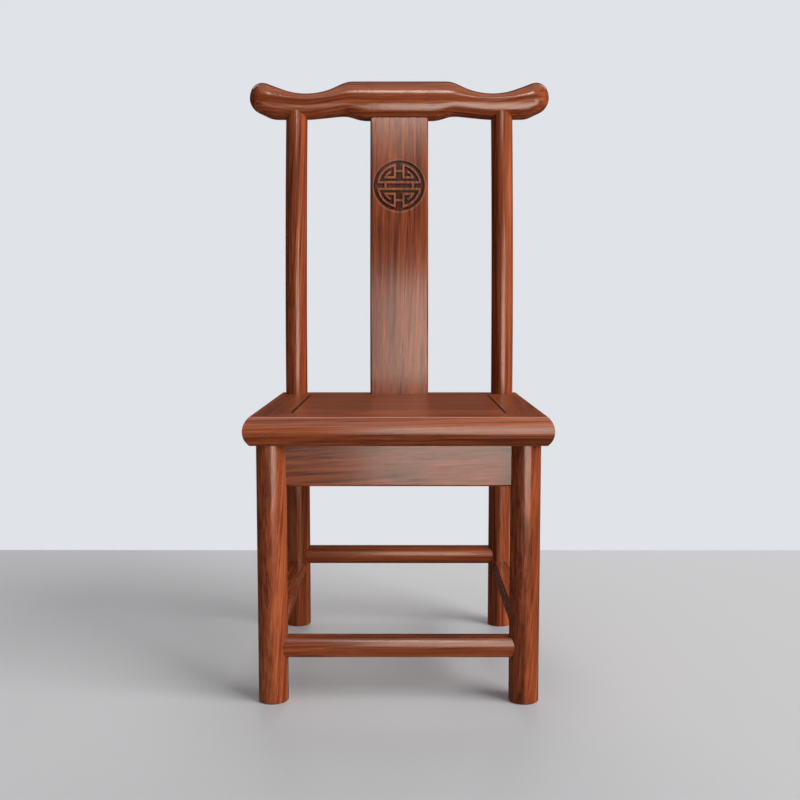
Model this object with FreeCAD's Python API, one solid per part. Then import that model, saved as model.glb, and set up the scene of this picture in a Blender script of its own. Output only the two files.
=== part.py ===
import FreeCAD, Part
import math
import os

Vec = FreeCAD.Vector

# Driving dimensions, in millimetres

# Stance: the four legs stand square on the floor
leg_pitch_across = 244.0     # between the left and right leg axes
leg_pitch_deep = 247.0       # between the front and rear leg axes
leg_diameter = 29.0          # round legs below the seat
foot_chamfer = 1.0           # broken edge where a leg meets the floor

# Seat frame and panel
seat_height = 280.0          # floor to the top of the seat
rail_thick = 27.5            # height of the seat rails
rail_width = 42.0            # outermost line of a rail to its inner edge
seat_overhang = 24.3         # leg axis to the outermost line of the seat edge
edge_bulge = 6.0             # how far the rounded seat edge stands out past its arrises
rail_arris = 1.0             # softened arrises of the seat edge
panel_thick = 13.0
panel_gap = 0.5              # room for the panel to move in its frame
panel_chamfer = 0.9          # V groove between panel and frame
tongue_thick = 6.0           # panel tongue, held in the groove of the rails
tongue_reach = 5.0
groove_spare = 1.0           # groove deeper than the tongue

# Batten under the panel
batten_width = 22.0
batten_height = 12.0
dovetail_depth = 4.0
dovetail_flare = 2.5         # each side
batten_tenon_width = 14.0
batten_tenon_height = 7.0
batten_tenon_length = 10.0

# Frame dowels, two across each mitre
dowel_diameter = 6.0
dowel_length = 16.0
dowel_drop = 18.5            # seat top to the dowel axes
dowel_wall = 3.5             # wood between a dowel and the post hole

# Front leg tenons, one into each rail of the corner
leg_tenon = 8.0              # square
leg_tenon_long = 18.0        # into the front rail
leg_tenon_short = 12.0       # into the side rail
mitre_wall = 1.5             # tenon to the mitre, measured along a rail

# Back
post_diameter = 25.4         # rear posts above the seat
crest_centre_height = 626.7  # floor to the middle of the crest rail
back_setback = 33.0          # how far the post axes end behind the rear legs
post_entry = 19.0            # underside of the crest rail up to the end of a scribed shoulder
post_tenon_diameter = 14.0
post_tenon_length = 16.0     # into the crest rail

# Crest rail, a yoke with a raised pillow and upturned ends
crest_thick = 30.0           # front to back, the same along the whole rail
crest_nose_share = 0.3       # part of the height that is always left over and under the foremost line
crest_fullness = 2.3         # of the section: 2 is an ellipse, more is squarer
crest_end_round = 16.0       # rounding of the two ends, seen from above
crest_forward = 2.3          # its middle, ahead of where the post axes end
pillow_height = 45.8         # the rail is tallest in the middle
pillow_top_half = 62.5       # middle to the pillow's upper shoulders
pillow_top_round = 34.0
pillow_foot_half = 44.0      # middle to the pillow's lower shoulders
pillow_foot_round = 16.0
dip_depth = 21.4             # pillow top down to where the slopes of the dip would meet
dip_inset = 16.0             # that point, inside the post axis
dip_round = 82.0
tip_rise = 2.9               # corner of the upturned tip, over the pillow top
tip_reach = 50.0             # the same corner, outside the post axis
tip_round = 14.5
tip_side_drop = 6.8          # outer corner of the tip, under the middle line
tip_side_reach = 59.9        # the same corner, outside the post axis
tip_side_round = 19.0
crest_underside = 21.5       # middle line down to the underside at the posts
underside_reach = 28.4       # level underside, outside the post axis
underside_round = 25.0
arch_rise = 4.2              # arch of the underside beside the pillow
arch_inset = 20.0            # its top, outside the pillow's foot
arch_round = 24.0
arch_run_round = 120.0       # where the arch runs out near the post

# Back splat
splat_width = 68.5
splat_thick = 13.0
splat_chamfer = 1.6          # along its four long edges
splat_tenon_width = 50.0
splat_tenon_thick = 7.0
splat_tenon_top = 16.0       # into the crest rail
splat_tenon_foot = 14.0      # into the rear seat rail

# Round longevity medallion carved in the splat
medallion_rise = 244.8       # seat top to its centre
medallion_radius = 30.1      # edge of the sunken ground
carve_depth = 2.2
stroke = 2.4                 # width of the raised lines
ring_radius = 25.0           # middle of the broken ring
stem_offset = 5.1            # middle to each upright stem
stem_bar = 17.4              # middle to the short bars between the stems
foot_bar = 9.8               # middle to the bars at the feet of the stems
foot_reach = 16.6            # middle to the ends of those bars
hook_sweep = 23.0            # degrees of the hooks that turn in from those ends
long_bar = 3.95              # middle to the two long bars
link_offset = 16.2           # middle to the links between the long bars

# Aprons under the seat frame
apron_height = 41.0
apron_thick = 12.0
apron_setback = 3.0          # apron middle inside the line of the leg axes
apron_edge_round = 1.5
apron_tenon_height = 27.0
apron_tenon_thick = 6.0
apron_tenon_length = 8.0     # into the leg

# Stretchers, each pair higher than the one before
stretcher_height = 19.0
stretcher_flat = 14.0        # flat top between the rounded sides
stretcher_bulge = 3.5        # each rounded side
stretcher_arris = 0.8
front_stretcher_centre = 54.3
stretcher_step = 15.5        # front to sides, and sides to rear
stretcher_tenon_height = 11.0
stretcher_tenon_thick = 10.0
stretcher_tenon_length = 17.0

# Fits
joint_gap = 0.1              # around each tenon, tongue and dowel

# Places worked out from the driving dimensions
leg_x = leg_pitch_across / 2
leg_y = leg_pitch_deep / 2
leg_radius = leg_diameter / 2
post_radius = post_diameter / 2
seat_half_x = leg_x + seat_overhang
seat_half_y = leg_y + seat_overhang
rail_under = seat_height - rail_thick
panel_under = seat_height - panel_thick
opening_half_x = seat_half_x - rail_width
opening_half_y = seat_half_y - rail_width

# The back follows one arc that leaves the seat upright and leans back
back_rise = crest_centre_height - seat_height
back_radius = (back_rise ** 2 + back_setback ** 2) / (2 * back_setback)
back_lean = math.degrees(math.asin(back_rise / back_radius))
arc_centre = Vec(0, leg_y + back_radius, seat_height)

# The origin lies on the floor under the middle of the whole chair
crest_middle_y = leg_y + back_setback - crest_forward
crest_back = crest_middle_y + crest_thick / 2
middle_y = (crest_back - seat_half_y) / 2


# General shapes

def box(x0, x1, y0, y1, z0, z1):
    return Part.makeBox(x1 - x0, y1 - y0, z1 - z0, Vec(x0, y0, z0))


def block(centre, size, gap=0.0):
    """A box about a centre, larger all round by the gap."""
    half = [side / 2 + gap for side in size]
    return box(centre[0] - half[0], centre[0] + half[0], centre[1] - half[1],
               centre[1] + half[1], centre[2] - half[2], centre[2] + half[2])


def rounded_outline(corners):
    """Closed wire in the XZ plane: straight runs between corners (x, z, radius)."""
    starts = []
    ends = []
    bends = []
    for index, (x, z, radius) in enumerate(corners):
        corner = Vec(x, 0, z)
        before = Vec(corners[index - 1][0], 0, corners[index - 1][1]) - corner
        after_corner = corners[(index + 1) % len(corners)]
        after = Vec(after_corner[0], 0, after_corner[1]) - corner
        before.normalize()
        after.normalize()
        half_turn = (math.pi - before.getAngle(after)) / 2
        run = radius * math.tan(half_turn)
        inward = (before + after).normalize()
        bends.append(corner + inward * (radius / math.cos(half_turn) - radius))
        starts.append(corner + before * run)
        ends.append(corner + after * run)
    edges = []
    for index, corner in enumerate(corners):
        if corner[2] > 0:
            edges.append(Part.Arc(starts[index], bends[index], ends[index]).toShape())
        following = starts[(index + 1) % len(corners)]
        edges.append(Part.makeLine(ends[index], following))
    return Part.Wire(edges)


def chamfered_rectangle(width, depth, chamfer, place):
    """Closed level wire about a place, with its four corners cut off."""
    x = width / 2
    y = depth / 2
    corners = [
        Vec(x - chamfer, y, 0), Vec(x, y - chamfer, 0),
        Vec(x, chamfer - y, 0), Vec(x - chamfer, -y, 0),
        Vec(chamfer - x, -y, 0), Vec(-x, chamfer - y, 0),
        Vec(-x, y - chamfer, 0), Vec(chamfer - x, y, 0),
    ]
    corners.append(corners[0])
    return Part.makePolygon([place + corner for corner in corners])


def prism_along_y(wire, y0, y1):
    solid = Part.Face(wire).extrude(Vec(0, y1 - y0, 0))
    solid.translate(Vec(0, y0, 0))
    return solid


def bulged_bar(half_length, flat_half, bulge, height):
    """A bar along X with flat top and bottom and both long sides rounded outward."""
    top = height / 2
    side = flat_half + bulge
    wire = Part.Wire([
        Part.makeLine(Vec(0, -flat_half, top), Vec(0, flat_half, top)),
        Part.Arc(Vec(0, flat_half, top), Vec(0, side, 0), Vec(0, flat_half, -top)).toShape(),
        Part.makeLine(Vec(0, flat_half, -top), Vec(0, -flat_half, -top)),
        Part.Arc(Vec(0, -flat_half, -top), Vec(0, -side, 0), Vec(0, -flat_half, top)).toShape(),
    ])
    bar = Part.Face(wire).extrude(Vec(2 * half_length, 0, 0))
    bar.translate(Vec(-half_length, 0, 0))
    return bar


def turned(shape, degrees):
    """A copy turned about the chair's upright middle axis."""
    return shape.rotated(Vec(0, 0, 0), Vec(0, 0, 1), degrees)


def at_back_angle(shape, degrees):
    """Stand a shape on the back's arc, leaning by the given angle."""
    angle = math.radians(degrees)
    place = arc_centre + Vec(0, -back_radius * math.cos(angle), back_radius * math.sin(angle))
    stand = FreeCAD.Placement(place, FreeCAD.Rotation(Vec(1, 0, 0), -degrees))
    copy = shape.copy()
    copy.Placement = stand.multiply(copy.Placement)
    return copy


def swept_up_back(wire, degrees):
    """Carry a level outline, drawn about the rear leg line, up the back's arc."""
    return Part.Face(wire).revolve(arc_centre, Vec(-1, 0, 0), degrees)


# Places of the joints, shared by both pieces of each joint

def side_half(degrees):
    """Half the seat along a rail, and from the middle out to that rail's edge."""
    if degrees % 180 == 0:
        return seat_half_x, seat_half_y
    return seat_half_y, seat_half_x


def leg_half(degrees):
    """Half the leg pitch along one side, and from the middle out to that side."""
    if degrees % 180 == 0:
        return leg_x, leg_y
    return leg_y, leg_x


def front_leg_tenons(side, gap=0.0):
    """Two square tenons on a front leg, one each side of the corner's mitre."""
    offset = leg_tenon / 2 + mitre_wall
    long_place = (side * (leg_x - offset), -leg_y - offset, rail_under + leg_tenon_long / 2)
    short_place = (side * (leg_x + offset), -leg_y + offset, rail_under + leg_tenon_short / 2)
    long_size = (leg_tenon, leg_tenon, leg_tenon_long)
    short_size = (leg_tenon, leg_tenon, leg_tenon_short)
    return block(long_place, long_size, gap).fuse(block(short_place, short_size, gap))


def post_hole():
    depth = rail_thick + 2 * joint_gap
    hole = Part.makeCylinder(post_radius + joint_gap, depth, Vec(0, leg_y, rail_under - joint_gap))
    left = hole.translated(Vec(-leg_x, 0, 0))
    return left.fuse(hole.translated(Vec(leg_x, 0, 0)))


def corner_dowels(gap=0.0):
    """Dowels square to each mitre, one inside and one outside the line of the leg."""
    diagonal = post_radius + joint_gap + dowel_wall + dowel_diameter / 2
    length = dowel_length + 2 * gap
    dowels = []
    for side_x in (-1, 1):
        for side_y in (-1, 1):
            for along in (-diagonal, diagonal):
                shift = along / math.sqrt(2)
                middle = Vec(side_x * (leg_x + shift), side_y * (leg_y + shift), seat_height - dowel_drop)
                across = Vec(side_x, -side_y, 0).normalize()
                start = middle - across * (length / 2)
                dowels.append(Part.makeCylinder(dowel_diameter / 2 + gap, length, start, across))
    return dowels


def splat_foot_tenon(gap=0.0):
    centre = (0, leg_y, seat_height - splat_tenon_foot / 2)
    return block(centre, (splat_tenon_width, splat_tenon_thick, splat_tenon_foot), gap)


def splat_top_tenon(gap=0.0):
    """Straight tongue along the lean of the back, where it enters the crest rail."""
    top = splat_tenon_top - pillow_height / 2
    foot = -pillow_height / 2 - splat_tenon_top
    centre = (0, 0, (top + foot) / 2)
    tongue = block(centre, (splat_tenon_width, splat_tenon_thick, top - foot), gap)
    return at_back_angle(tongue, back_lean)


def post_top_tenon(side, gap=0.0):
    """Round tenon along the lean of the back, where it enters the crest rail."""
    top = post_tenon_length - crest_underside + gap
    foot = -crest_underside - post_tenon_length
    radius = post_tenon_diameter / 2 + gap
    tenon = Part.makeCylinder(radius, top - foot, Vec(side * leg_x, 0, foot))
    return at_back_angle(tenon, back_lean)


def batten_tenons(gap=0.0):
    height = panel_under - batten_height / 2
    tenons = []
    for side in (-1, 1):
        centre = (0, side * opening_half_y, height)
        size = (batten_tenon_width, 2 * batten_tenon_length, batten_tenon_height)
        tenons.append(block(centre, size, gap))
    return tenons


def end_tenons(degrees, setback, height, size, gap=0.0):
    """Tenons at both ends of a member that runs between two legs on one side."""
    half_run, out = leg_half(degrees)
    length, thick, tall = size
    tenons = []
    for end in (-1, 1):
        centre = (end * (half_run - leg_radius), setback - out, height)
        tenons.append(turned(block(centre, (2 * length, thick, tall), gap), degrees))
    return tenons


def apron_tenons(degrees, gap=0.0):
    size = (apron_tenon_length, apron_tenon_thick, apron_tenon_height)
    return end_tenons(degrees, apron_setback, rail_under - apron_height / 2, size, gap)


def stretcher_centre(degrees):
    steps = {0: 0, 90: 1, 180: 2, 270: 1}
    return front_stretcher_centre + steps[degrees] * stretcher_step


def stretcher_tenons(degrees, gap=0.0):
    size = (stretcher_tenon_length, stretcher_tenon_thick, stretcher_tenon_height)
    return end_tenons(degrees, 0.0, stretcher_centre(degrees), size, gap)


def leg_cylinder(x, y, height):
    leg = Part.makeCylinder(leg_radius, height, Vec(x, y, 0))
    floor_edges = [edge for edge in leg.Edges if edge.BoundBox.ZMax < foot_chamfer]
    return leg.makeChamfer(foot_chamfer, floor_edges)


# The four sides, as turns about the middle: front, right, rear, left
sides = {"front": 0, "right": 90, "rear": 180, "left": 270}


# Seat frame and panel

def seat_rail(degrees):
    """One mitred rail: rounded outer edge, panel groove in the inner edge."""
    half_run, out = side_half(degrees)
    inner = out - rail_width
    middle = seat_height - rail_thick / 2
    arris = out - edge_bulge
    lip = seat_height - panel_chamfer
    wire = Part.Wire([
        Part.makeLine(Vec(0, -arris, rail_under), Vec(0, -inner, rail_under)),
        Part.makeLine(Vec(0, -inner, rail_under), Vec(0, -inner, lip)),
        Part.makeLine(Vec(0, -inner, lip), Vec(0, -inner - panel_chamfer, seat_height)),
        Part.makeLine(Vec(0, -inner - panel_chamfer, seat_height), Vec(0, -arris, seat_height)),
        Part.Arc(Vec(0, -arris, seat_height), Vec(0, -out, middle), Vec(0, -arris, rail_under)).toShape(),
    ])
    rail = Part.Face(wire).extrude(Vec(2 * half_run, 0, 0))
    rail.translate(Vec(-half_run, 0, 0))
    outer_edges = [edge for edge in rail.Edges
                   if edge.BoundBox.XLength > half_run and abs(edge.BoundBox.YMin + arris) < 0.01]
    rail = rail.makeFillet(rail_arris, outer_edges)
    groove = box(-half_run, half_run, -inner - tongue_reach - groove_spare, -inner,
                 panel_under - joint_gap, panel_under + tongue_thick + joint_gap)
    rail = rail.cut(groove)
    inner_run = half_run - rail_width
    plan = Part.makePolygon([Vec(-half_run, -out, rail_under), Vec(half_run, -out, rail_under),
                             Vec(inner_run, -inner, rail_under), Vec(-inner_run, -inner, rail_under),
                             Vec(-half_run, -out, rail_under)])
    mitred = rail.common(Part.Face(plan).extrude(Vec(0, 0, rail_thick)))
    rail = turned(mitred, degrees)
    for side in (-1, 1):
        rail = rail.cut(front_leg_tenons(side, joint_gap))
    rail = rail.cut(post_hole()).cut(splat_foot_tenon(joint_gap))
    return rail.cut(batten_tenons(joint_gap)).cut(corner_dowels(joint_gap))


def seat_panel():
    """Flush panel with a tongue all round and a dovetail slot for the batten."""
    half_x = opening_half_x - panel_gap
    half_y = opening_half_y - panel_gap
    field = box(-half_x, half_x, -half_y, half_y, panel_under, seat_height)
    top_edges = [edge for edge in field.Edges if edge.BoundBox.ZMin > seat_height - joint_gap]
    field = field.makeChamfer(panel_chamfer, top_edges)
    tongue_x = opening_half_x + tongue_reach
    tongue_y = opening_half_y + tongue_reach
    tongue = box(-tongue_x, tongue_x, -tongue_y, tongue_y, panel_under, panel_under + tongue_thick)
    slot = batten_dovetail(tongue_y, joint_gap)
    return field.fuse(tongue).removeSplitter().cut(slot)


def batten_dovetail(half_length, gap=0.0):
    """Dovetail that flares upward into the panel, from the batten's width."""
    foot = batten_width / 2 - dovetail_flare + gap
    head = batten_width / 2 + gap
    top = panel_under + dovetail_depth + gap
    wire = Part.makePolygon([Vec(-foot, 0, panel_under), Vec(foot, 0, panel_under),
                             Vec(head, 0, top), Vec(-head, 0, top), Vec(-foot, 0, panel_under)])
    return prism_along_y(wire, -half_length, half_length)


def seat_batten():
    body = box(-batten_width / 2, batten_width / 2, -opening_half_y, opening_half_y,
               panel_under - batten_height, panel_under)
    batten = body.fuse(batten_dovetail(opening_half_y))
    for tenon in batten_tenons():
        batten = batten.fuse(tenon)
    return batten.removeSplitter()


# Legs and posts

def socketed(leg):
    """Cut the sockets for every apron and stretcher that enters a leg."""
    for degrees in sides.values():
        leg = leg.cut(apron_tenons(degrees, joint_gap))
        leg = leg.cut(stretcher_tenons(degrees, joint_gap))
    return leg


def front_leg(side):
    leg = leg_cylinder(side * leg_x, -leg_y, rail_under)
    return socketed(leg.fuse(front_leg_tenons(side)))


def rear_post(side, crest):
    """Leg, curved post above, and its end scribed to the crest rail, in one piece."""
    leg = leg_cylinder(side * leg_x, leg_y, rail_under)
    through = Part.makeCylinder(post_radius, rail_thick, Vec(side * leg_x, leg_y, rail_under))
    ring = Part.makeCircle(post_radius, Vec(side * leg_x, leg_y, seat_height))
    shoulder_rise = back_rise - crest_underside + post_entry
    shoulder_lean = math.degrees(math.asin(shoulder_rise / back_radius))
    upright = swept_up_back(Part.Wire([ring]), shoulder_lean).cut(crest)
    post = leg.fuse(through).fuse(upright).fuse(post_top_tenon(side))
    return socketed(post.removeSplitter())


# Crest rail and splat

def crest_outline():
    """The yoke seen from the front, about its middle."""
    top = pillow_height / 2
    half = [
        (pillow_top_half, top, pillow_top_round),
        (leg_x - dip_inset, top - dip_depth, dip_round),
        (leg_x + tip_reach, top + tip_rise, tip_round),
        (leg_x + tip_side_reach, -tip_side_drop, tip_side_round),
        (leg_x + underside_reach, -crest_underside, underside_round),
        (leg_x - dip_inset, -crest_underside, arch_run_round),
        (pillow_foot_half + arch_inset, arch_rise - crest_underside, arch_round),
        (pillow_foot_half, -top, pillow_foot_round),
    ]
    mirrored = [(-x, z, radius) for x, z, radius in reversed(half)]
    return Part.Face(rounded_outline(half + mirrored))


def crest_section(outline, x, half_thick):
    """Closed section of the yoke at one place along it, foremost on the yoke's middle line."""
    span = outline.common(Part.makeLine(Vec(x, 0, -pillow_height), Vec(x, 0, pillow_height))).BoundBox
    spare = crest_nose_share * span.ZLength
    nose = min(max(0.0, span.ZMin + spare), span.ZMax - spare)
    steps = 16
    points = []
    for step in range(steps):
        turn = 2 * math.pi * step / steps
        over = math.sin(turn) > 0
        power = 2 / crest_fullness
        reach = span.ZMax - nose if over else nose - span.ZMin
        forward = math.copysign(abs(math.cos(turn)) ** power, math.cos(turn))
        upward = math.copysign(abs(math.sin(turn)) ** power, math.sin(turn))
        points.append(Vec(x, -half_thick * forward, nose + reach * upward))
    curve = Part.BSplineCurve()
    shares = [step / steps for step in range(steps + 1)]
    curve.interpolate(Points=points, PeriodicFlag=True, Parameters=shares)
    return Part.Wire([curve.toShape()])


def crest_blank():
    """The yoke before its sockets are cut, carved round along its whole length."""
    outline = crest_outline()
    shoulder = outline.BoundBox.XMax - crest_end_round
    body_steps = 16
    places = [(shoulder * step / body_steps, crest_thick / 2) for step in range(body_steps + 1)]
    for turn in (21, 42, 63, 83):
        angle = math.radians(turn)
        x = shoulder + crest_end_round * math.sin(angle)
        places.append((x, crest_thick / 2 * math.cos(angle)))
    places = [(-x, half_thick) for x, half_thick in reversed(places[1:])] + places
    sections = [crest_section(outline, x, half_thick) for x, half_thick in places]
    blank = Part.makeLoft(sections, True, False, False, 5)
    return blank.translated(Vec(0, crest_middle_y, crest_centre_height))


def crest_rail(blank):
    rail = blank.cut(splat_top_tenon(joint_gap))
    for side in (-1, 1):
        rail = rail.cut(post_top_tenon(side, joint_gap))
    return rail


def medallion_bar(x0, x1, z0, z1):
    """A straight raised line, drawn right through the splat."""
    return box(x0, x1, -splat_thick, splat_thick, z0, z1)


def medallion_arc(radius, start, sweep):
    """A raised line along an arc about the medallion's centre, in degrees from +X."""
    foot = Vec(0, splat_thick, 0)
    toward_front = Vec(0, -1, 0)
    outer = Part.makeCylinder(radius + stroke / 2, 2 * splat_thick, foot, toward_front, sweep)
    line = outer.cut(Part.makeCylinder(radius - stroke / 2, 2 * splat_thick, foot, toward_front))
    return line.rotated(Vec(0, 0, 0), toward_front, start)


def medallion_quarter():
    """The raised lines of one quarter of the longevity sign, right of and above its middle."""
    half = stroke / 2
    ring_start = math.degrees(math.asin(long_bar / ring_radius))
    ring_end = math.degrees(math.acos(stem_offset / ring_radius))
    hook_start = math.degrees(math.atan2(foot_bar, foot_reach))
    stem_top = ring_radius * math.sin(math.radians(ring_end)) + half
    long_end = ring_radius * math.cos(math.radians(ring_start)) + half
    return [
        medallion_arc(ring_radius, ring_start, ring_end - ring_start),
        medallion_bar(stem_offset - half, stem_offset + half, foot_bar - half, stem_top),
        medallion_bar(0, stem_offset, stem_bar - half, stem_bar + half),
        medallion_bar(stem_offset, foot_reach + half, foot_bar - half, foot_bar + half),
        medallion_arc(math.hypot(foot_bar, foot_reach), hook_start, hook_sweep),
        medallion_bar(0, long_end, long_bar - half, long_bar + half),
        medallion_bar(link_offset - half, link_offset + half, 0, long_bar),
    ]


def medallion_ground():
    """The ground sunk between the raised lines, standing where the medallion sits."""
    lines = medallion_quarter()
    lines += [line.mirror(Vec(0, 0, 0), Vec(1, 0, 0)) for line in lines]
    lines += [line.mirror(Vec(0, 0, 0), Vec(0, 0, 1)) for line in lines]
    disc = Part.makeCylinder(medallion_radius, 2 * splat_thick, Vec(0, splat_thick, 0), Vec(0, -1, 0))
    lean = math.degrees(math.asin(medallion_rise / back_radius))
    return at_back_angle(disc.cut(lines), lean)


def back_splat(crest):
    """Curved board, scribed to the crest rail, with the medallion carved in its front."""
    foot = Vec(0, leg_y, seat_height)
    outline = chamfered_rectangle(splat_width, splat_thick, splat_chamfer, foot)
    board = swept_up_back(outline, back_lean).cut(crest)
    board = board.fuse([splat_foot_tenon(), splat_top_tenon()]).removeSplitter()
    front = leg_y - splat_thick / 2
    skin = Part.makePlane(splat_width, 2 * carve_depth,
                          Vec(-splat_width / 2, front - carve_depth, seat_height))
    carving = medallion_ground().common(swept_up_back(skin.OuterWire, back_lean))
    return board.cut(carving)


# Aprons and stretchers

def between_legs(member, tenons):
    """Scribe a member's ends to the round legs and give it its tenons."""
    for x in (-leg_x, leg_x):
        for y in (-leg_y, leg_y):
            member = member.cut(Part.makeCylinder(leg_radius, seat_height, Vec(x, y, 0)))
    return member.fuse(tenons).removeSplitter()


def apron(degrees):
    half_run, out = leg_half(degrees)
    middle = apron_setback - out
    board = box(-half_run, half_run, middle - apron_thick / 2, middle + apron_thick / 2,
                rail_under - apron_height, rail_under)
    low_edges = [edge for edge in board.Edges
                 if edge.BoundBox.ZMax < rail_under - apron_height / 2
                 and edge.BoundBox.XLength > half_run]
    board = board.makeFillet(apron_edge_round, low_edges)
    return between_legs(turned(board, degrees), apron_tenons(degrees))


def stretcher(degrees):
    half_run, out = leg_half(degrees)
    rod = bulged_bar(half_run, stretcher_flat / 2, stretcher_bulge, stretcher_height)
    arrises = [edge for edge in rod.Edges if edge.BoundBox.XLength > half_run]
    rod = rod.makeFillet(stretcher_arris, arrises)
    rod.translate(Vec(0, -out, stretcher_centre(degrees)))
    return between_legs(turned(rod, degrees), stretcher_tenons(degrees))


# Every piece by name

crest_whole = crest_blank()
nodes = {
    "crest_rail": crest_rail(crest_whole),
    "back_splat": back_splat(crest_whole),
    "seat_panel": seat_panel(),
    "seat_batten": seat_batten(),
    "frame_dowels": Part.makeCompound(corner_dowels()),
}
for name, degrees in sides.items():
    nodes["seat_%s_rail" % name] = seat_rail(degrees)
    nodes["%s_apron" % name] = apron(degrees)
    nodes["%s_stretcher" % name] = stretcher(degrees)
for name, side in (("left", -1), ("right", 1)):
    nodes["front_leg_%s" % name] = front_leg(side)
    nodes["rear_post_%s" % name] = rear_post(side, crest_whole)

os.makedirs("parts", exist_ok=True)
for name, shape in nodes.items():
    shape.translated(Vec(0, -middle_y, 0)).exportStep("parts/%s.step" % name)
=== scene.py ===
# %% [markdown]
# A low walnut chair with a yoke back
#
# The chair has a square seat frame on four round legs. The two rear legs run on upward as curved
# posts and carry a crest rail shaped like a yoke. A gently bent splat with a round longevity
# medallion stands between the posts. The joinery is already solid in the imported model, so this lesson
# adds what the eye sees: the walnut, its lacquer, the swept round uprights, a studio and a camera.

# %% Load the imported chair
import math
import bpy
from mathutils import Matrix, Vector


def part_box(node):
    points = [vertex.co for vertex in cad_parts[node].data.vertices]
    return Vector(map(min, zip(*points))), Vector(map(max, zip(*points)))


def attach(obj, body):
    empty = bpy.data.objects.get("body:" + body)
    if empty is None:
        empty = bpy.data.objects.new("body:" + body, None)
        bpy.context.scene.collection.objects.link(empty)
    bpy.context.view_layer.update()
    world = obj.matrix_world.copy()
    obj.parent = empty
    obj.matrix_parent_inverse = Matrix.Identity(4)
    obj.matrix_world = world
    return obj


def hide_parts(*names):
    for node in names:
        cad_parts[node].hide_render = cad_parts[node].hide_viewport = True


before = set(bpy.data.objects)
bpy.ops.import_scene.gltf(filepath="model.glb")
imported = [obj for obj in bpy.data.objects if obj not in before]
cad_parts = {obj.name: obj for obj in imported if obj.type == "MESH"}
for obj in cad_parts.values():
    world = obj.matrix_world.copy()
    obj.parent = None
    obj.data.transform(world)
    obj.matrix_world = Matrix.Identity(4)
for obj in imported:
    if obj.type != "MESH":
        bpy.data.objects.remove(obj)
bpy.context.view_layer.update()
scene = bpy.context.scene


# %% [markdown]
# The camera
#
# The picture was taken from just in front of the chair, a little above the seat, looking slightly
# down. The lens is written as pixels of an 800 pixel wide picture, because that is how it was found:
# from the spread of the legs in front and behind. The distance is taken to the plane halfway between
# the front and rear legs, which a side stretcher gives without any guess.

# %% Place the camera
picture_pixels = 800
lens_pixels = 1039.2
camera_height = 0.383
camera_distance = 1.1109       # from the middle of the legs
camera_sideways = 0.0033
look_down = math.radians(5.128)
look_left = math.radians(0.11)

stretcher_low, stretcher_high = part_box("left_stretcher")
legs_middle_y = (stretcher_low.y + stretcher_high.y) / 2
camera = bpy.data.cameras.new("camera")
camera.sensor_width = 36.0
camera.lens = camera.sensor_width * lens_pixels / picture_pixels
camera_object = bpy.data.objects.new("camera", camera)
camera_object.location = (camera_sideways, legs_middle_y - camera_distance, camera_height)
camera_object.rotation_euler = (math.pi / 2 - look_down, 0, look_left)
scene.collection.objects.link(camera_object)
scene.camera = camera_object
scene.view_settings.view_transform = "Standard"
print("lens %.2f mm, camera at" % camera.lens, list(camera_object.location))


# %% [markdown]
# Small helpers for node trees
#
# Materials and Geometry Nodes are both trees of nodes. A few short helpers keep every tree readable.
# The first makes a node and fills its inputs, whether with a plain value or with a wire from another
# node. The others each do one sum, on numbers or on vectors.

# %% Node helpers
def node(tree, kind, inputs=None, **settings):
    """Make a node, apply its settings, then give each input a value or a wire."""
    made = tree.nodes.new(kind)
    for name, value in settings.items():
        setattr(made, name, value)
    for key, value in (inputs or {}).items():
        if isinstance(value, bpy.types.NodeSocket):
            tree.links.new(value, made.inputs[key])
        else:
            made.inputs[key].default_value = value
    return made


def calc(tree, operation, first, second=0.0):
    """One sum on numbers."""
    return node(tree, "ShaderNodeMath", {0: first, 1: second}, operation=operation).outputs[0]


def vector_calc(tree, operation, first, second=(0, 0, 0)):
    """One sum on vectors."""
    return node(tree, "ShaderNodeVectorMath", {0: first, 1: second}, operation=operation).outputs[0]


def scaled(tree, vector, amount):
    """A vector or colour times a number."""
    return node(tree, "ShaderNodeVectorMath", {0: vector, "Scale": amount}, operation="SCALE").outputs[0]


def length_of(tree, vector):
    """How long a vector is."""
    return node(tree, "ShaderNodeVectorMath", {0: vector}, operation="LENGTH").outputs["Value"]


def rescale(tree, value, low, high, new_low=0.0, new_high=1.0):
    """Stretch a span of values over another, with a soft start and end."""
    inputs = {"Value": value, "From Min": low, "From Max": high, "To Min": new_low, "To Max": new_high}
    return node(tree, "ShaderNodeMapRange", inputs, interpolation_type="SMOOTHSTEP").outputs["Result"]


helpers = (node, calc, vector_calc, scaled, length_of, rescale)
print("helpers:", [helper.__name__ for helper in helpers])


# %% [markdown]
# The stage
#
# The chair stands on a plain pale floor before a plain pale wall. The floor ends where the wall would
# start, and a large shell around everything gives the wall's colour. The shell is seen by the camera
# alone, so it neither lights the wood nor shows in its lacquer. The floor does send light back up at
# the chair, but it is kept out of the lacquer too, so that only the lights leave strips on the wood.
# It is quite matte, so that it mirrors none of those lights itself.

# %% Floor and backdrop
floor_colour = (0.64, 0.664, 0.702, 1)
wall_colour = (0.745, 0.766, 0.807, 1)
floor_back_edge = 0.492
floor_reach = 2.4
floor_gloss = 0.0
shell_radius = 9.0


def flat_mesh(name, corners):
    """One flat face with these corners."""
    mesh = bpy.data.meshes.new(name)
    mesh.from_pydata(corners, [], [tuple(range(len(corners)))])
    made = bpy.data.objects.new(name, mesh)
    scene.collection.objects.link(made)
    return made


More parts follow.
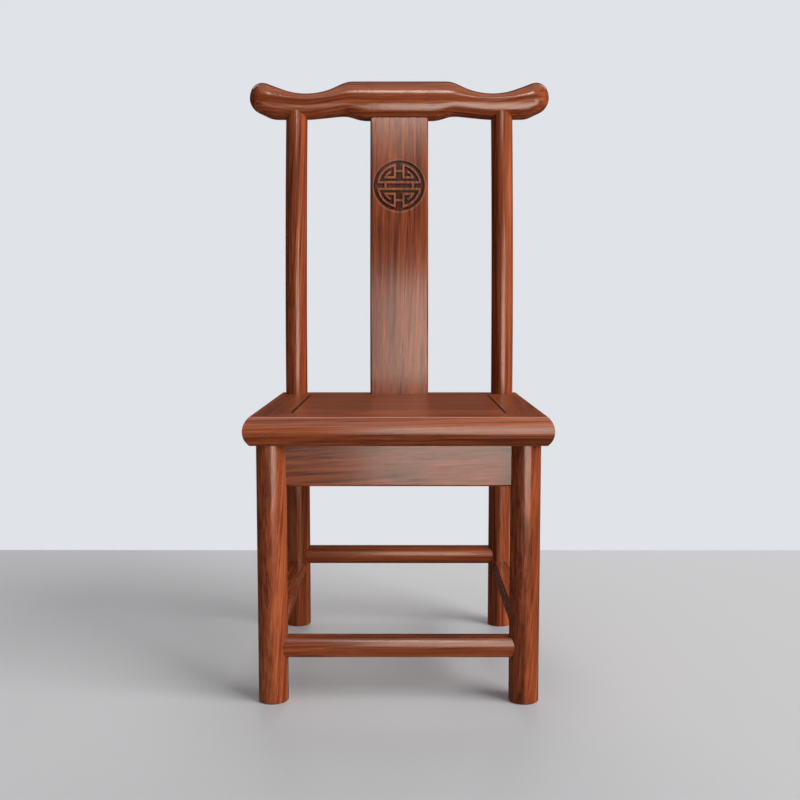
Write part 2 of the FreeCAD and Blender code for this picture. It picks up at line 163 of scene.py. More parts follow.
floor = flat_mesh("floor", [
    (-floor_reach, -floor_reach, 0), (floor_reach, -floor_reach, 0),
    (floor_reach, floor_back_edge, 0), (-floor_reach, floor_back_edge, 0),
])
floor_finish = bpy.data.materials.new("floor_finish")
floor_finish.use_nodes = True
floor_shader = floor_finish.node_tree.nodes["Principled BSDF"]
floor_shader.inputs["Base Color"].default_value = floor_colour
floor_shader.inputs["Specular IOR Level"].default_value = floor_gloss
floor.data.materials.append(floor_finish)

bpy.ops.mesh.primitive_uv_sphere_add(segments=48, ring_count=24, radius=shell_radius)
shell = bpy.context.object
shell.name = "backdrop"
shell_finish = bpy.data.materials.new("backdrop_finish")
shell_finish.use_nodes = True
shell_finish.node_tree.nodes.clear()
shell_glow = node(shell_finish.node_tree, "ShaderNodeEmission", {"Color": wall_colour})
node(shell_finish.node_tree, "ShaderNodeOutputMaterial", {"Surface": shell_glow.outputs[0]})
shell.data.materials.append(shell_finish)
for ray in ("diffuse", "glossy", "transmission", "volume_scatter", "shadow"):
    setattr(shell, "visible_" + ray, False)
floor.visible_glossy = False
print("floor ends at y = %.3f m" % floor_back_edge)


# %% [markdown]
# Soft studio light
#
# Round lacquered wood shows its lights as long strips, so a product studio uses two kinds of light.
# Reflection cards are placed by the strips that they leave: one in front, a little to the right, for
# the legs, posts, apron and seat edge, a small one over its right side for the upper posts, one high
# and far in front for the line along the crest rail, and dim ones flat on the floor and overhead for
# the soft bands under and over those lines. Two more behind do the same for whoever walks round the
# chair. The wood's colour comes from broad lamps that the lacquer does not show: a large key far to
# the right, which leaves the left of every round member dark, a ceiling, a fill straight behind that
# only the rear sides and the floor get, and a dim even world, dimmer still in the lacquer.

# %% Lights
def soft_panel(name, place, target, width, height, radiance, tint, reflection):
    """A rectangle of light that faces a target. Radiance 1 is the brightness of lit white paper."""
    light = bpy.data.lights.new(name, "AREA")
    light.shape = "RECTANGLE"
    light.size = width
    light.size_y = height
    light.energy = radiance * math.pi * width * height
    light.color = tint
    made = bpy.data.objects.new(name, light)
    made.location = place
    made.rotation_euler = (Vector(target) - Vector(place)).to_track_quat("-Z", "Y").to_euler()
    made.visible_camera = False
    made.visible_glossy = reflection
    made.visible_diffuse = not reflection
    scene.collection.objects.link(made)
    print("%s: %.1f W" % (name, light.energy))


card_tint = (1.0, 0.89, 0.77)
lamp_tint = (1.0, 0.955, 0.91)
sky_colour = (0.95, 0.97, 1.0, 1)
sky_level = 0.14
sky_level_in_lacquer = 0.03
seat_middle = (0, 0, 0.30)
back_middle = (0, 0.13, 0.62)
for name, place, target, width, height, radiance in (
        ("front_card", (0.29, -0.95, 0.32), (0.29, 0, 0.32), 0.70, 0.58, 5.4),
        ("tall_card", (0.49, -0.95, 0.70), (0.49, 0, 0.70), 0.30, 0.18, 7.0),
        ("upper_card", (0.18, -6.50, 5.09), back_middle, 1.30, 1.20, 14.0),
        ("low_card", (0.0, -3.60, 0.02), (0.0, -3.60, 1.0), 1.80, 3.80, 1.7),
        ("ceiling_card", (0.1, -1.0, 2.2), (0.1, -1.0, 0.0), 2.50, 3.60, 0.9),
        ("rear_left_card", (-2.0, 1.6, 3.0), seat_middle, 1.0, 1.6, 3.0),
        ("rear_right_card", (2.0, 1.6, 3.0), seat_middle, 1.0, 1.6, 3.0)):
    soft_panel(name, place, target, width, height, radiance, card_tint, reflection=True)
for name, place, target, width, height, radiance in (
        ("side_key", (5.12, -3.04, 2.38), seat_middle, 4.48, 4.48, 7.6),
        ("ceiling", (0.2, -0.2, 2.2), (0, 0, 0), 2.0, 2.0, 0.9),
        ("rear_fill", (0.0, 3.0, 1.7), seat_middle, 2.0, 1.6, 5.0)):
    soft_panel(name, place, target, width, height, radiance, lamp_tint, reflection=False)

world = bpy.data.worlds.new("world")
scene.world = world
world.use_nodes = True
sky = world.node_tree.nodes["Background"]
sky.inputs["Color"].default_value = sky_colour
in_lacquer = node(world.node_tree, "ShaderNodeLightPath").outputs["Is Glossy Ray"]
levels = {"Value": in_lacquer, "To Min": sky_level, "To Max": sky_level_in_lacquer}
level = node(world.node_tree, "ShaderNodeMapRange", levels).outputs["Result"]
world.node_tree.links.new(level, sky.inputs["Strength"])


# %% [markdown]
# Walnut, part one: the figure
#
# A board shows the tree's yearly rings cut at an angle, so its figure is best drawn as a solid: rings
# around the heart of the tree, which lies some way outside the board, bent by slow waves along the
# trunk. On a flat face such rings make pointed arches, and on a round leg they make long loops, with
# no extra work. Fine streaks, and pores that look like short dark dashes, run along the trunk too.
# The group takes a place in metres with the trunk along Z, and gives three plain values to colour.

# %% Figure of the wood
# Waves per metre across and along the trunk, then how far they push the grain aside, in metres.
slow_sway = (9.0, 1.6, 0.020)
fine_sway = (60.0, 6.0, 0.0030)
sway_detail = 2.0
# Noise cells per metre across and along the trunk, then the noise's detail and roughness.
bands_noise = (75.0, 1.0, 3.0, 0.55)
streaks_noise = (330.0, 3.5, 3.0, 0.6)
fibres_noise = (1000.0, 14.0, 2.0, 0.6)
uneven_years_noise = (45.0, 0.6, 2.0, 0.5)
line_strength_noise = (26.0, 3.0, 2.0, 0.5)
pores_noise = (1250.0, 42.0, 1.0, 0.5)
bands_weight = 0.45
streaks_weight = 0.75
fibres_weight = 0.50
years_per_metre = 150.0
uneven_years = 5.0
late_wood_from = 0.66          # as a part of the year
late_wood_full = 0.94
line_faint_below = 0.36
line_full_above = 0.66
faintest_line = 0.10
pore_from = 0.58
pore_full = 0.72


def walnut_figure():
    """A node group: from a place in the tree to its tone, its ring line and its pores."""
    group = bpy.data.node_groups.new("walnut_figure", "ShaderNodeTree")
    group.interface.new_socket("Place", in_out="INPUT", socket_type="NodeSocketVector")
    for name in ("Tone", "Ring line", "Pore"):
        group.interface.new_socket(name, in_out="OUTPUT", socket_type="NodeSocketFloat")
    place = node(group, "NodeGroupInput").outputs["Place"]

    def grain_noise(source, across, along, detail, roughness):
        stretched = vector_calc(group, "MULTIPLY", source, (across, across, along))
        inputs = {"Vector": stretched, "Scale": 1.0, "Detail": detail, "Roughness": roughness}
        return node(group, "ShaderNodeTexNoise", inputs)

    def bent(source, across, along, reach):
        wave = grain_noise(source, across, along, sway_detail, 0.5).outputs["Color"]
        centred = vector_calc(group, "SUBTRACT", wave, (0.5, 0.5, 0.5))
        push = vector_calc(group, "MULTIPLY", centred, (reach, reach, 0))
        return vector_calc(group, "ADD", source, push)

    swayed = bent(bent(place, *slow_sway), *fine_sway)
    parts = node(group, "ShaderNodeSeparateXYZ", {0: swayed})
    flat = node(group, "ShaderNodeCombineXYZ", {"X": parts.outputs["X"], "Y": parts.outputs["Y"]})
    from_heart = length_of(group, flat.outputs[0])
    ring_parts = {"X": from_heart, "Z": parts.outputs["Z"]}
    ring_place = node(group, "ShaderNodeCombineXYZ", ring_parts).outputs[0]
    tone = 0.5
    for source, noise, weight in ((ring_place, bands_noise, bands_weight),
                                  (swayed, streaks_noise, streaks_weight),
                                  (swayed, fibres_noise, fibres_weight)):
        layer = grain_noise(source, *noise).outputs["Fac"]
        centred = calc(group, "SUBTRACT", layer, 0.5)
        tone = calc(group, "ADD", tone, calc(group, "MULTIPLY", centred, weight))

    uneven = grain_noise(ring_place, *uneven_years_noise).outputs["Fac"]
    even_years = calc(group, "MULTIPLY", from_heart, years_per_metre)
    years = calc(group, "ADD", even_years, calc(group, "MULTIPLY", uneven, uneven_years))
    year_part = calc(group, "FRACT", years)
    late_wood = rescale(group, year_part, late_wood_from, late_wood_full)
    new_year = rescale(group, year_part, late_wood_full, 1.0, 1.0, 0.0)
    line = calc(group, "MULTIPLY", late_wood, new_year)
    strength = grain_noise(swayed, *line_strength_noise).outputs["Fac"]
    strength = rescale(group, strength, line_faint_below, line_full_above, faintest_line, 1.0)
    line = calc(group, "MULTIPLY", line, strength)

    pore = grain_noise(swayed, *pores_noise).outputs["Fac"]
    pore = rescale(group, pore, pore_from, pore_full)
    node(group, "NodeGroupOutput", {"Tone": tone, "Ring line": line, "Pore": pore})
    return group


figure_group = walnut_figure()
print("figure group has", len(figure_group.nodes), "nodes")


# %% [markdown]
# Walnut, part two: stain and lacquer
#
# The wood is stained a warm reddish brown and closed with a satin lacquer. A ramp turns the figure's
# tone into brown. Ring lines and pores then darken it. The lacquer is the shader's own gloss, a touch
# rougher in the pores, and the pores also dent the surface by a hair. Each piece has its own board, so
# each gets its own material: the trunk runs along the piece, and the heart lies in another direction.

# %% Finish of the wood
walnut_browns = ((0.26, (0.080, 0.0155, 0.0052)), (0.44, (0.235, 0.0500, 0.0160)),
                 (0.56, (0.345, 0.0790, 0.0260)), (0.76, (0.520, 0.1420, 0.0510)))
# Pale colour added as a painted highlight on the seat's arris and on the medallion's lines and rim.
painted_highlight_colour = (0.50, 0.42, 0.36)
beech_browns = ((0.30, (0.36, 0.20, 0.10)), (0.70, (0.52, 0.33, 0.18)))
ring_darkening = 0.50
pore_darkening = 0.30
lacquer_rough = 0.19
pore_rough = 0.10
pore_dent_strength = 0.06
pore_dent_depth = 0.0002
plain_skew = 0.02              # how far a board is sawn across the grain, in radians
side_skew_share = -0.6
trunk_turn = {"X": ("Y", "Z", "X"), "Y": ("Z", "X", "Y"), "Z": ("X", "Y", "Z")}


def board_place(tree, source, grain, centre, heart, skew):
    """Turn a place so that the trunk runs along Z, with the heart of the tree at the origin."""
    parts = node(tree, "ShaderNodeSeparateXYZ", {0: vector_calc(tree, "SUBTRACT", source, centre)})
    turned = [parts.outputs[axis] for axis in trunk_turn[grain]]
    along = node(tree, "ShaderNodeCombineXYZ", dict(enumerate(turned))).outputs[0]
    mapping = {"Vector": along, "Location": heart, "Rotation": (skew, side_skew_share * skew, 0)}
    return node(tree, "ShaderNodeMapping", mapping).outputs[0]


def wood(name, grain, centre, heart, skew=plain_skew, browns=walnut_browns, attribute=None, stain=1.0,
         touch=None):
    """A stained and lacquered board. A touch is a function that adds what is special about a piece."""
    material = bpy.data.materials.new(name)
    material.use_nodes = True
    tree = material.node_tree
    shader = tree.nodes["Principled BSDF"]
    touches = touch(tree) if touch else {}
    if attribute:
        source = node(tree, "ShaderNodeAttribute", attribute_name=attribute).outputs["Vector"]
    else:
        source = touches.get("place") or node(tree, "ShaderNodeTexCoord").outputs["Object"]
    figure = node(tree, "ShaderNodeGroup", node_tree=figure_group)
    tree.links.new(board_place(tree, source, grain, centre, heart, skew), figure.inputs["Place"])

    ramp = node(tree, "ShaderNodeValToRGB", {"Fac": figure.outputs["Tone"]})
    stops = ramp.color_ramp.elements
    while len(stops) < len(browns):
        stops.new(0.5)
    for stop, (position, colour) in zip(stops, browns):
        stop.position = position
        stop.color = (*colour, 1)
    ring_shade = calc(tree, "MULTIPLY", figure.outputs["Ring line"], ring_darkening * stain)
    pore_shade = calc(tree, "MULTIPLY", figure.outputs["Pore"], pore_darkening)
    shade = calc(tree, "SUBTRACT", stain, ring_shade)
    shade = calc(tree, "MULTIPLY", shade, calc(tree, "SUBTRACT", 1.0, pore_shade))
    rough = calc(tree, "MULTIPLY", figure.outputs["Pore"], pore_rough)
    rough = calc(tree, "ADD", lacquer_rough, rough)
    if "shade" in touches:
        shade = calc(tree, "MULTIPLY", shade, touches["shade"])
    if "rough" in touches:
        rough = calc(tree, "ADD", rough, touches["rough"])
    colour = scaled(tree, ramp.outputs["Color"], shade)
    # A touch may add a painted highlight in the pale colour.
    if "painted_highlight" in touches:
        colour = vector_calc(tree, "ADD", colour, scaled(tree, painted_highlight_colour, touches["painted_highlight"]))
    tree.links.new(colour, shader.inputs["Base Color"])
    tree.links.new(rough, shader.inputs["Roughness"])
    dent = {"Strength": pore_dent_strength, "Distance": pore_dent_depth,
            "Height": figure.outputs["Pore"]}
    dented = node(tree, "ShaderNodeBump", dent, invert=True).outputs["Normal"]
    tree.links.new(dented, shader.inputs["Normal"])
    return material


print("walnut from", len(walnut_browns), "browns, lacquer roughness", lacquer_rough)


# %% [markdown]
# The round uprights, with Geometry Nodes
#
# Each upright is a round section carried along a path. In front the path is a straight leg. Behind,
# the leg passes through the seat frame with a shoulder, gets thinner and leans back along an arc. The
# rule is the same for all four, so one Geometry Nodes tree makes them from named sizes. The path is a
# line of points that the tree moves into place by their number, and the section is a circle that
# follows it. The tree also writes down where in its stick each point lies, so the grain bends with it.

# %% The tree for an upright
upright_sizes = (("Place", "Vector"), ("Leg radius", "Float"), ("Foot chamfer", "Float"),
                 ("Shoulder height", "Float"), ("Post radius", "Float"), ("Seat height", "Float"),
                 ("Arc radius", "Float"), ("Arc angle", "Float"), ("Arc points", "Int"),
                 ("Facets", "Int"), ("Finish", "Material"))
leg_points = 4                 # foot, top of the chamfer, shoulder of the leg, shoulder of the post
shoulder_gap = 0.00001         # keeps the two shoulder points apart
sharp_turn = math.radians(30)


def upright_tree():
    """A node group: from named sizes to one round upright."""
    tree = bpy.data.node_groups.new("round_upright", "GeometryNodeTree")
    for name, kind in upright_sizes:
        tree.interface.new_socket(name, in_out="INPUT", socket_type="NodeSocket" + kind)
    tree.interface.new_socket("Upright", in_out="OUTPUT", socket_type="NodeSocketGeometry")
    given = node(tree, "NodeGroupInput").outputs

    def by_number(number, values):
        switch = node(tree, "GeometryNodeIndexSwitch", data_type="FLOAT")
        while len(switch.index_switch_items) < len(values):
            switch.index_switch_items.new()
        tree.links.new(number, switch.inputs["Index"])
        for index, value in enumerate(values):
            if isinstance(value, bpy.types.NodeSocket):
                tree.links.new(value, switch.inputs[1 + index])
            else:
                switch.inputs[1 + index].default_value = value
        return switch.outputs[0]

    def store(geometry, name, value, kind):
        inputs = {"Geometry": geometry, "Name": name, "Value": value}
        made = node(tree, "GeometryNodeStoreNamedAttribute", inputs, data_type=kind, domain="POINT")
        return made.outputs[0]

    def recall(name, kind):
        made = node(tree, "GeometryNodeInputNamedAttribute", {"Name": name}, data_type=kind)
        return made.outputs["Attribute"]

    number = node(tree, "GeometryNodeInputIndex").outputs[0]
    leg_number = calc(tree, "MINIMUM", number, leg_points - 1)
    post_shoulder = calc(tree, "ADD", given["Shoulder height"], shoulder_gap)
    heights = [0.0, given["Foot chamfer"], given["Shoulder height"], post_shoulder]
    leg_height = by_number(leg_number, heights)
    foot_radius = calc(tree, "SUBTRACT", given["Leg radius"], given["Foot chamfer"])
    radii = [foot_radius, given["Leg radius"], given["Leg radius"], given["Post radius"]]
    radius = by_number(leg_number, radii)

    arc_number = calc(tree, "SUBTRACT", number, leg_points)
    arc_steps = calc(tree, "MAXIMUM", calc(tree, "SUBTRACT", given["Arc points"], 1.0), 1.0)
    angle = calc(tree, "MULTIPLY", calc(tree, "DIVIDE", arc_number, arc_steps), given["Arc angle"])
    arc_back = calc(tree, "SUBTRACT", 1.0, calc(tree, "COSINE", angle))
    arc_back = calc(tree, "MULTIPLY", arc_back, given["Arc radius"])
    arc_rise = calc(tree, "MULTIPLY", calc(tree, "SINE", angle), given["Arc radius"])
    arc_height = calc(tree, "ADD", arc_rise, given["Seat height"])
    on_arc = calc(tree, "GREATER_THAN", number, leg_points - 0.5)
    back = calc(tree, "MULTIPLY", on_arc, arc_back)
    choice = {0: on_arc, 2: leg_height, 3: arc_height}
    height = node(tree, "ShaderNodeMix", choice, data_type="FLOAT").outputs[0]
    spot = node(tree, "ShaderNodeCombineXYZ", {"Y": back, "Z": height}).outputs[0]

    count = calc(tree, "ADD", given["Arc points"], leg_points)
    line = node(tree, "GeometryNodeMeshLine", {"Count": count}).outputs[0]
    path = node(tree, "GeometryNodeMeshToCurve", {"Mesh": line}).outputs[0]
    path = node(tree, "GeometryNodeSetPosition", {"Geometry": path, "Position": spot}).outputs[0]
    length = node(tree, "GeometryNodeSplineParameter").outputs["Length"]
    path = store(store(path, "along", length, "FLOAT"), "thick", radius, "FLOAT")
    circle = {"Resolution": given["Facets"], "Radius": 1.0}
    ring = node(tree, "GeometryNodeCurvePrimitiveCircle", circle).outputs[0]
    ring_spot = node(tree, "GeometryNodeInputPosition").outputs[0]
    ring = store(ring, "section", ring_spot, "FLOAT_VECTOR")
    sweep = {"Curve": path, "Profile Curve": ring, "Scale": recall("thick", "FLOAT"), "Fill Caps": True}
    stick = node(tree, "GeometryNodeCurveToMesh", sweep).outputs[0]

    across = scaled(tree, recall("section", "FLOAT_VECTOR"), recall("thick", "FLOAT"))
    along = node(tree, "ShaderNodeCombineXYZ", {"Z": recall("along", "FLOAT")}).outputs[0]
    stick = store(stick, "stick_place", vector_calc(tree, "ADD", across, along), "FLOAT_VECTOR")
    placed = {"Geometry": stick, "Offset": given["Place"]}
    stick = node(tree, "GeometryNodeSetPosition", placed).outputs[0]
    smooth = {"Geometry": stick, "Shade Smooth": True}
    stick = node(tree, "GeometryNodeSetShadeSmooth", smooth).outputs[0]
    bend = node(tree, "GeometryNodeInputMeshEdgeAngle").outputs["Unsigned Angle"]
    sharp = calc(tree, "GREATER_THAN", bend, sharp_turn)
    crisp = {"Geometry": stick, "Selection": sharp, "Shade Smooth": False}
    stick = node(tree, "GeometryNodeSetShadeSmooth", crisp, domain="EDGE").outputs[0]
    stick = node(tree, "GeometryNodeRealizeInstances", {"Geometry": stick}).outputs[0]
    dressed = {"Geometry": stick, "Material": given["Finish"]}
    stick = node(tree, "GeometryNodeSetMaterial", dressed).outputs[0]
    node(tree, "NodeGroupOutput", {"Upright": stick})
    return tree


upright = upright_tree()
print("upright tree has", len(upright.nodes), "nodes and", len(upright_sizes), "inputs")


# %% [markdown]
# The four uprights
#
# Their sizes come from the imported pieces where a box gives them: the leg's width from a front leg, the
# seat's height from its panel, the shoulder from the underside of a rail. Only the thinner post and
# the set-back of the crest rail are written here. The arc is the one that leaves the seat upright and
# reaches that set-back. The long posts are cut along the grain for strength. The short front legs are
# cut a little across it, so that their rings run out in long loops.

# %% Sweep the uprights
foot_chamfer = 0.001
post_radius = 0.0127
back_setback = 0.033
upright_facets = 96
arc_points = 40
leg_stain = 0.97
leg_skew = 0.09
post_stain = 0.90
upright_heart = (0.045, -0.035)
side_step = 0.37               # along the trunk, so that left and right differ
post_step = 8.0                # the posts come from another length of the trunk

leg_low, leg_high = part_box("front_leg_left")
leg_radius = (leg_high.x - leg_low.x) / 2
rear_low, rear_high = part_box("rear_post_left")
rear_leg_y = rear_low.y + leg_radius
shoulder_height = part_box("seat_front_rail")[0].z
seat_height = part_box("seat_panel")[1].z
crest_low, crest_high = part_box("crest_rail")
crest_middle = crest_low.z + (crest_high.z - crest_low.z) / 2
back_rise = crest_middle - seat_height
back_radius = (back_rise ** 2 + back_setback ** 2) / (2 * back_setback)
post_rise = rear_high.z - seat_height
post_angle = math.asin(post_rise / back_radius)
print("back arc: radius %.3f m, %.2f degrees" % (back_radius, math.degrees(post_angle)))


def make_upright(name, place, arc_count, finish):
    """Let the tree make one upright, and keep the result as a plain mesh."""
    sizes = {"Place": place, "Leg radius": leg_radius, "Foot chamfer": foot_chamfer,
             "Shoulder height": shoulder_height, "Post radius": post_radius, "Seat height": seat_height,
             "Arc radius": back_radius, "Arc angle": post_angle, "Arc points": arc_count,
             "Facets": upright_facets, "Finish": finish}
    rough = bpy.data.objects.new(name + "_rough", bpy.data.meshes.new(name + "_rough"))
    scene.collection.objects.link(rough)
    modifier = rough.modifiers.new("upright", "NODES")
    modifier.node_group = upright
    for socket in upright.interface.items_tree:
        if socket.in_out == "INPUT":
            modifier[socket.identifier] = sizes[socket.name]
    evaluated = rough.evaluated_get(bpy.context.evaluated_depsgraph_get())
    mesh = bpy.data.meshes.new_from_object(evaluated)
    mesh.name = name
    bpy.data.objects.remove(rough)
    piece = bpy.data.objects.new(name, mesh)
    scene.collection.objects.link(piece)
    return piece


upright_rows = (("front_leg", leg_low.y + leg_radius, 0, 0.0, leg_stain, leg_skew),
                ("rear_post", rear_leg_y, arc_points, post_step, post_stain, plain_skew))
for side, sign in (("left", -1), ("right", 1)):
    leg_x = sign * (abs(leg_low.x) - leg_radius)
    for kind, leg_y, count, step, stain, skew in upright_rows:
        node_name = kind + "_" + side
        heart = (upright_heart[0] * sign, upright_heart[1], side_step * sign + step)
        finish = wood("walnut_" + node_name, "Z", (0, 0, 0), heart, skew,
                      attribute="stick_place", stain=stain)
        piece = make_upright(node_name + "_swept", (leg_x, leg_y, 0), count, finish)
        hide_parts(node_name)
        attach(piece, "root")
        print(piece.name, len(piece.data.polygons), "faces")


# %% [markdown]
# The splat and its medallion
#
# The splat is bent to the same arc as the posts, so its grain runs straight up its curved face. The
# arc turns about a line behind the chair, and the distance to that line tells how deep a place is in
# the splat. The round sign is left standing while the ground around it is cut away and darkened, so
# that its lines read from across a room. The darkening lies where the carver's chisel went: inside the
# circle and below the face. It is partly stain and partly painted shade, and the painted shade is
# deepest in the corners beside the standing lines, which an occlusion node finds. The standing lines
# and the rim of the circle are made paler as a painted highlight.

# %% Grain of the splat, with stain, painted shade and a painted highlight
splat_half_thick = 0.0065
medallion_radius = 0.0304
medallion_rise = 0.2448
carve_depth = 0.0022
ground_dark_from = 0.2               # as a part of the carved depth
ground_dark_full = 0.45
corner_reach = 0.003           # how near a standing line darkens the ground
corner_open = 0.50             # how open a corner is, from 0 to 1
ground_open = 0.88
# Painted shade: the sunken ground is darkened, most in its corners and less in the open; stain and
# painted shade together.
corner_painted_shade = 0.03
ground_stain_and_shade = 0.42
# Painted highlight: the standing lines are lifted and paled, and a thin ring at the circle's rim is
# paled.
line_highlight_gain = 1.2
line_highlight = 0.06
rim_half_width = 0.0007
rim_core = 0.5                 # part of the rim's width that gets the full painted highlight
rim_highlight = 0.12


def splat_touch(tree):
    """Bent grain, stained ground with painted shade, and a painted highlight on standing lines and rim.
    """
    arc_line = (0, rear_leg_y + back_radius, seat_height)
    source = node(tree, "ShaderNodeTexCoord").outputs["Object"]
    from_line = vector_calc(tree, "SUBTRACT", source, arc_line)
    radius = length_of(tree, vector_calc(tree, "MULTIPLY", from_line, (0, 1, 1)))
    parts = node(tree, "ShaderNodeSeparateXYZ", {0: source}).outputs
    bent_parts = {"X": parts["X"], "Y": calc(tree, "SUBTRACT", radius, back_radius), "Z": parts["Z"]}
    place = node(tree, "ShaderNodeCombineXYZ", bent_parts).outputs[0]

    front = back_radius + splat_half_thick
    ground_dark_top = front - ground_dark_from * carve_depth
    sunken = rescale(tree, radius, front - ground_dark_full * carve_depth, ground_dark_top, 1.0, 0.0)
    carved_side = calc(tree, "GREATER_THAN", radius, back_radius)
    middle = (0, 0, seat_height + medallion_rise)
    across = vector_calc(tree, "MULTIPLY", vector_calc(tree, "SUBTRACT", source, middle), (1, 0, 1))
    reach = length_of(tree, across)
    inside = calc(tree, "MULTIPLY", calc(tree, "LESS_THAN", reach, medallion_radius), carved_side)
    shade = calc(tree, "ADD", 1.0, calc(tree, "MULTIPLY", inside, line_highlight_gain - 1.0))
    # The sunken ground is darkened: stain in the open, and painted shade deepest in the corners the
    # occlusion node finds.
    sunken_ground = calc(tree, "MULTIPLY", sunken, inside)
    near = {"Distance": corner_reach}
    openness = node(tree, "ShaderNodeAmbientOcclusion", near, samples=16, only_local=True).outputs["AO"]
    ground = rescale(tree, openness, corner_open, ground_open, corner_painted_shade, ground_stain_and_shade)
    darker = calc(tree, "SUBTRACT", line_highlight_gain, ground)
    shade = calc(tree, "SUBTRACT", shade, calc(tree, "MULTIPLY", sunken_ground, darker))
    # Painted highlight on the standing lines and on the rim of the circle.
    standing_highlight = calc(tree, "MULTIPLY", calc(tree, "SUBTRACT", inside, sunken_ground), line_highlight)
    from_rim = calc(tree, "ABSOLUTE", calc(tree, "SUBTRACT", reach, medallion_radius + rim_half_width))
    rim = rescale(tree, from_rim, rim_core * rim_half_width, rim_half_width, rim_highlight, 0.0)
    painted_highlight = calc(tree, "ADD", calc(tree, "MULTIPLY", rim, carved_side), standing_highlight)
    return {"place": place, "shade": shade, "painted_highlight": painted_highlight}


print("medallion %.1f mm across, cut %.1f mm deep" % (2000 * medallion_radius, 1000 * carve_depth))


# %% [markdown]
# The crest rail's flowing grain
#
# A yoke rail is sawn from a plank whose grain already sways, so that the grain follows the two dips of
# the arms and does not run out of the thin places. Here the sway is one smooth dip on each side. The
# chair is lifted by this rail, so hands keep its lacquer a little glossier than the rest.

# %% Grain of the crest rail
arm_place = 0.109              # from the middle of the rail out to the lowest place of an arm
arm_reach = 0.056
arm_dip = 0.006
hand_polish = 0.05


def crest_touch(tree):
    """Grain that dips with the arms, under a lacquer that hands have polished."""
    source = node(tree, "ShaderNodeTexCoord").outputs["Object"]
    parts = node(tree, "ShaderNodeSeparateXYZ", {0: source}).outputs
    away = calc(tree, "SUBTRACT", calc(tree, "ABSOLUTE", parts["X"]), arm_place)
    dip = rescale(tree, calc(tree, "ABSOLUTE", away), 0.0, arm_reach, arm_dip, 0.0)
    swayed = {"X": parts["X"], "Y": parts["Y"], "Z": calc(tree, "ADD", parts["Z"], dip)}
    return {"place": node(tree, "ShaderNodeCombineXYZ", swayed).outputs[0], "rough": -hand_polish}


print("grain dips %.1f mm at %.0f mm from the middle" % (1000 * arm_dip, 1000 * arm_place))


# %% [markdown]
# The seat, rubbed, with a painted highlight and painted shade
#
# Sitters rub the lacquer of a seat to a satin: the top a little, and most of all the upper part of
# the rounded edge, while the rest of the edge stays glossy. A thin light line along the arris between
# top and edge is a painted highlight, and the groove between panel and frame is darkened as painted
# shade. The two lines follow the seat's plan, so a place is told by how far it lies inside or outside
# a rectangle.

# %% Rubbing of the seat, with a painted highlight and painted shade
edge_bulge = 0.006             # from the seat's outermost line in to its arris
# The arris gets a thin pale painted highlight.
arris_half_width = 0.0006
arris_highlight = 0.45
rail_width = 0.042
# The groove between panel and frame is darkened as painted shade.
groove_half_width = 0.0014
groove_painted_shade = 0.25
line_core = 0.6                # part of a line's width that has its full strength
line_depth = 0.0014            # how far down from the top the two lines still show
rubbed_depth = 0.0078
rubbed_fade = 0.0017
edge_rough = 0.28
top_rough = 0.15
seat_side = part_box("seat_right_rail")[1].x
seat_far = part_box("seat_rear_rail")[1].y
seat_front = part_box("seat_front_rail")[0].y
seat_centre = (0, (seat_front + seat_far) / 2, 0)
seat_half = (seat_side, (seat_far - seat_front) / 2)


def seat_rub_and_painted_light(tree):
    """The rubbed top and edge of the seat, a painted highlight on its arris, painted shade in its
    groove.
    """
    source = node(tree, "ShaderNodeTexCoord").outputs["Object"]
    plan = vector_calc(tree, "ABSOLUTE", vector_calc(tree, "SUBTRACT", source, seat_centre))
    plan = node(tree, "ShaderNodeSeparateXYZ", {0: plan}).outputs
    across = calc(tree, "SUBTRACT", plan["X"], seat_half[0])
    deep = calc(tree, "SUBTRACT", plan["Y"], seat_half[1])
    outside = calc(tree, "MAXIMUM", across, deep)
    height = node(tree, "ShaderNodeSeparateXYZ", {0: source}).outputs["Z"]
    near_top = calc(tree, "GREATER_THAN", height, seat_height - line_depth)
    rubbed_from = seat_height - rubbed_depth
    rubbed = rescale(tree, height, rubbed_from - rubbed_fade, rubbed_from, 0.0, edge_rough)
    on_top = calc(tree, "LESS_THAN", outside, -edge_bulge)
    rubbed = calc(tree, "SUBTRACT", rubbed, calc(tree, "MULTIPLY", on_top, edge_rough - top_rough))

    def line_at(inset, half_width):
        away = calc(tree, "ABSOLUTE", calc(tree, "ADD", outside, inset))
        line = rescale(tree, away, line_core * half_width, half_width, 1.0, 0.0)
        return calc(tree, "MULTIPLY", line, near_top)

    # Painted highlight: a thin pale line along the arris between top and edge.
    painted_highlight = calc(tree, "MULTIPLY", line_at(edge_bulge, arris_half_width), arris_highlight)
    # Painted shade: the groove between panel and frame is darkened.
    groove = calc(tree, "MULTIPLY", line_at(rail_width, groove_half_width), 1.0 - groove_painted_shade)
    shade = calc(tree, "SUBTRACT", 1.0, groove)
    return {"shade": shade, "rough": rubbed, "painted_highlight": painted_highlight}


print("seat %.1f mm wide, %.1f mm deep" % (2000 * seat_half[0], 2000 * seat_half[1]))


# %% [markdown]
# Wood for the sawn pieces
#
# The crest rail, seat, aprons, stretchers and splat are right as packed, so they stay and only get
# their wood. The trunk runs along each piece, as a joiner would lay it out. Where the heart of the
# tree lies decides the look of a face: to the side of it the grain is straight, square to it the grain
# spreads in arches. Boards never take stain alike, so a few are a little lighter or darker. The hidden
# dowels are of a pale hard wood.

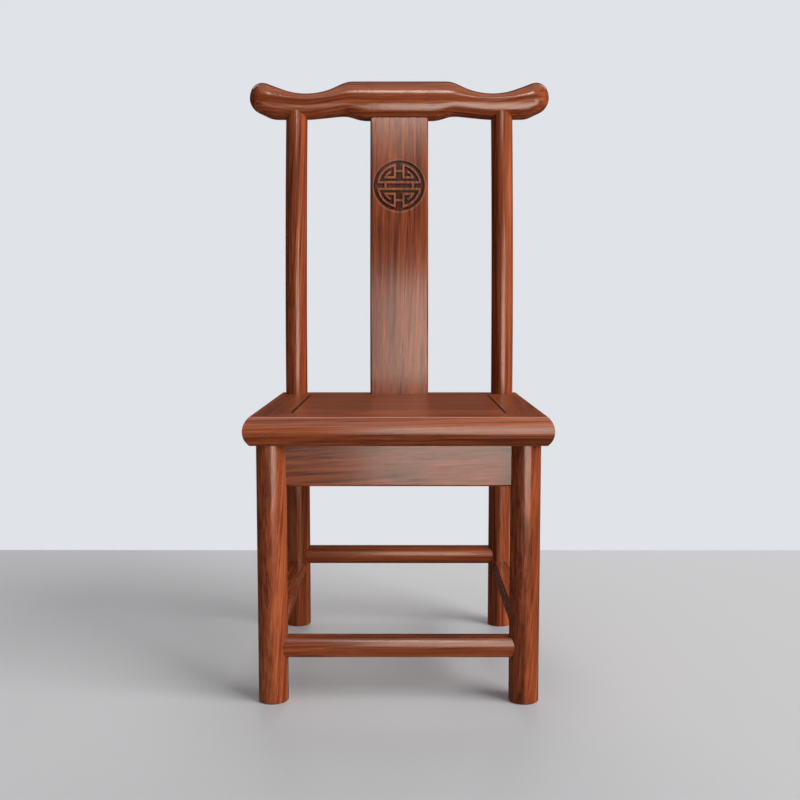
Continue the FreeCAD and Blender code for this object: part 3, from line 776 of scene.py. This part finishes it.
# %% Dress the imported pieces
along_x = ["crest_rail", "seat_panel"]
along_y = ["seat_batten"]
for name in ("front", "rear"):
    along_x += ["seat_%s_rail" % name, "%s_apron" % name, "%s_stretcher" % name]
for name in ("left", "right"):
    along_y += ["seat_%s_rail" % name, "%s_apron" % name, "%s_stretcher" % name]
grain_of = {name: "X" for name in along_x}
grain_of.update({name: "Y" for name in along_y})
grain_of["back_splat"] = "Z"
# The way to the heart of the tree, in the two directions across the grain.
across_piece = (1.0, 0.12)
upward = (0.12, 1.0)
between_faces = (0.7, 0.7)
heart_reach = 0.12
heart_step = 0.41              # along the trunk, so that no two boards are alike
dowel_heart = (0.03, 0.02, 0)
heart_of = {"back_splat": (0.012, 0.036), "front_apron": (0.045, 0.012)}
skew_of = {"back_splat": 0.022, "front_apron": 0.05}
stain_of = {"front_apron": 0.80, "back_splat": 0.92, "seat_panel": 0.92, "crest_rail": 0.90,
            "seat_front_rail": 0.95, "seat_left_rail": 0.90, "seat_right_rail": 0.90,
            "front_stretcher": 0.85, "rear_stretcher": 0.85}
touch_of = {"back_splat": splat_touch, "crest_rail": crest_touch, "seat_panel": seat_rub_and_painted_light}
for name in ("front", "right", "rear", "left"):
    touch_of["seat_%s_rail" % name] = seat_rub_and_painted_light


def piece_middle(name):
    """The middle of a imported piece's box."""
    low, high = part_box(name)
    return (low + high) / 2


for number, (name, grain) in enumerate(grain_of.items()):
    centre = piece_middle(name)
    way = upward if grain == "X" else across_piece
    if name == "seat_panel":
        way = across_piece
    elif name.startswith("seat") and name.endswith("rail"):
        way = between_faces
    elif name == "back_splat":
        centre.y = 0           # its depth is measured from its own arc
    heart = heart_of.get(name, (heart_reach * way[0], heart_reach * way[1]))
    heart = (*heart, heart_step * number)
    stain = stain_of.get(name, 1.0)
    skew = skew_of.get(name, plain_skew)
    finish = wood("walnut_" + name, grain, centre, heart, skew, stain=stain, touch=touch_of.get(name))
    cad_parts[name].material_slots[0].material = finish
dowel_finish = wood("dowel_beech", "Z", (0, 0, 0), dowel_heart, browns=beech_browns)
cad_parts["frame_dowels"].material_slots[0].material = dowel_finish
print(len(grain_of) + 1, "packed pieces dressed")
